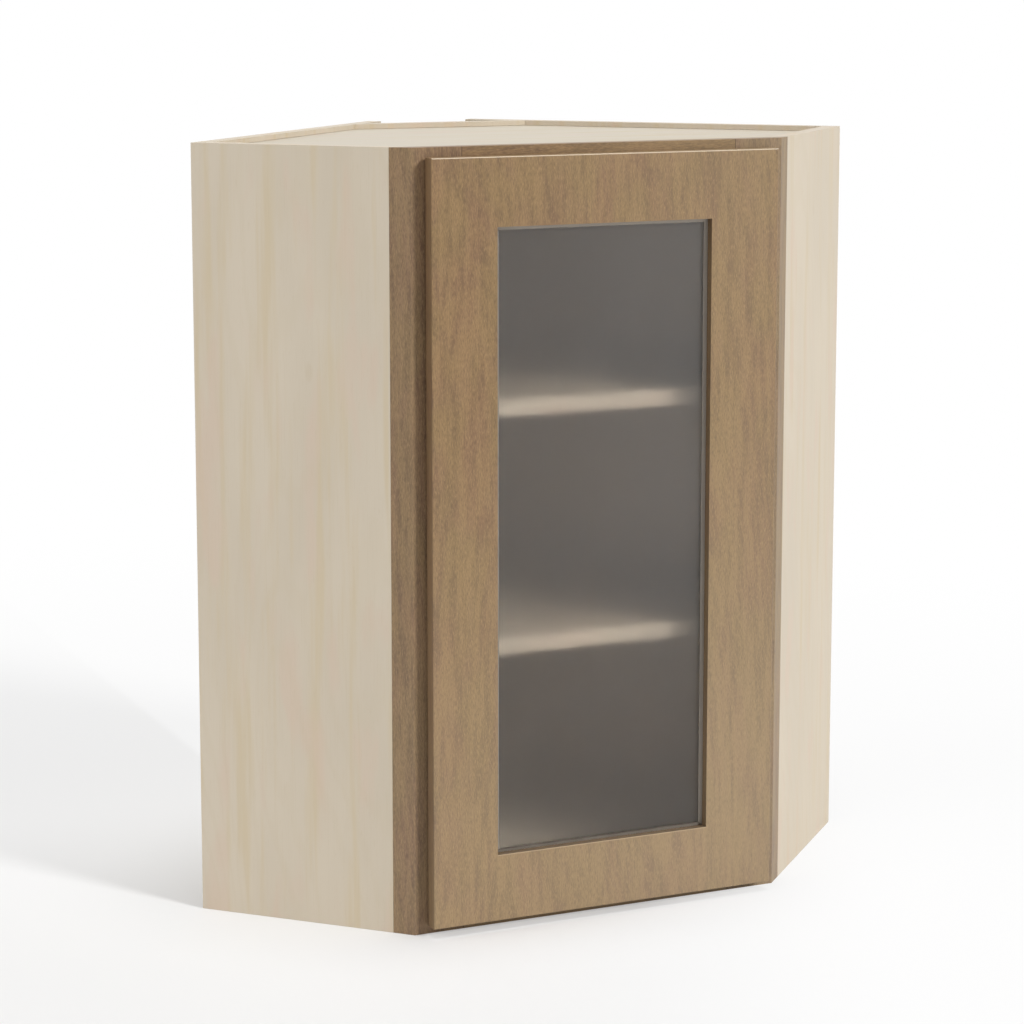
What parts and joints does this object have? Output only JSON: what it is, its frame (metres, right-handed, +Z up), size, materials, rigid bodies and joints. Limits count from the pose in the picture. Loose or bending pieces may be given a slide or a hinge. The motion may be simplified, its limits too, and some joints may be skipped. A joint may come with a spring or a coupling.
{
  "type": "corner wall cabinet",
  "caption": "Diagonal corner wall cabinet with a clipped back corner, bevelled face frame, adjustable shelves and one hinged frosted glass door.",
  "frame": {"origin": "under the middle of the whole cabinet, at the foot of its rim", "axes": "+Z up; the glass door faces -Y; +X to the right of a person facing the door; the room corner lies on +Y"},
  "size_m": [0.8622, 0.574, 0.9144],
  "materials": {
    "maple_ply": "clear satin lacquer on pale maple veneered plywood",
    "stained_birch": "satin light brown stain",
    "frosted_glass": "frosted field with a narrow ground bevel",
    "nickel": "nickel plated steel",
    "clear_rubber": "soft clear bumper"
  },
  "bodies": {
    "cabinet": {"left_side_panel": "maple_ply", "right_side_panel": "maple_ply", "left_back_panel": "maple_ply", "right_back_panel": "maple_ply", "corner_back_panel": "maple_ply", "bottom_panel": "maple_ply", "top_panel": "maple_ply", "lower_shelf": "maple_ply", "upper_shelf": "maple_ply", "frame_left_stile": "stained_birch", "frame_right_stile": "stained_birch", "frame_bottom_rail": "stained_birch", "frame_top_rail": "stained_birch", "lower_shelf_peg_left_front": "nickel", "lower_shelf_peg_left_rear": "nickel", "lower_shelf_peg_left_corner": "nickel", "lower_shelf_peg_right_front": "nickel", "lower_shelf_peg_right_rear": "nickel", "lower_shelf_peg_right_corner": "nickel", "upper_shelf_peg_left_front": "nickel", "upper_shelf_peg_left_rear": "nickel", "upper_shelf_peg_left_corner": "nickel", "upper_shelf_peg_right_front": "nickel", "upper_shelf_peg_right_rear": "nickel", "upper_shelf_peg_right_corner": "nickel", "lower_hinge_base": "nickel", "upper_hinge_base": "nickel", "lower_hinge_base_screw_bottom": "nickel", "upper_hinge_base_screw_bottom": "nickel", "lower_hinge_base_screw_top": "nickel", "upper_hinge_base_screw_top": "nickel"},
    "hinge_links": {"lower_hinge_link": "nickel", "upper_hinge_link": "nickel"},
    "door": {"door_latch_stile": "stained_birch", "door_hinge_stile": "stained_birch", "door_bottom_rail": "stained_birch", "door_top_rail": "stained_birch", "glass_pane": "frosted_glass", "glass_stop_left": "stained_birch", "glass_stop_right": "stained_birch", "glass_stop_bottom": "stained_birch", "glass_stop_top": "stained_birch", "lower_door_bumper": "clear_rubber", "upper_door_bumper": "clear_rubber", "lower_hinge_cup": "nickel", "upper_hinge_cup": "nickel", "lower_hinge_cup_screw_bottom": "nickel", "upper_hinge_cup_screw_bottom": "nickel", "lower_hinge_cup_screw_top": "nickel", "upper_hinge_cup_screw_top": "nickel"}
  },
  "joints": [
    {"name": "link_swing", "type": "hinge", "parent": "cabinet", "child": "hinge_links", "pos_m": [0.1691, -0.26498, 0.4572], "axis": [0, 0, -1], "range_deg": [0, 21]},
    {"name": "door_swing", "type": "hinge", "parent": "hinge_links", "child": "door", "pos_m": [0.2076, -0.27348, 0.4572], "axis": [0, 0, 1], "range_deg": [0, 126]}
  ],
  "couplings": [
    {"joint": "link_swing", "follows": "door_swing", "ratio": 0.16666}
  ]
}
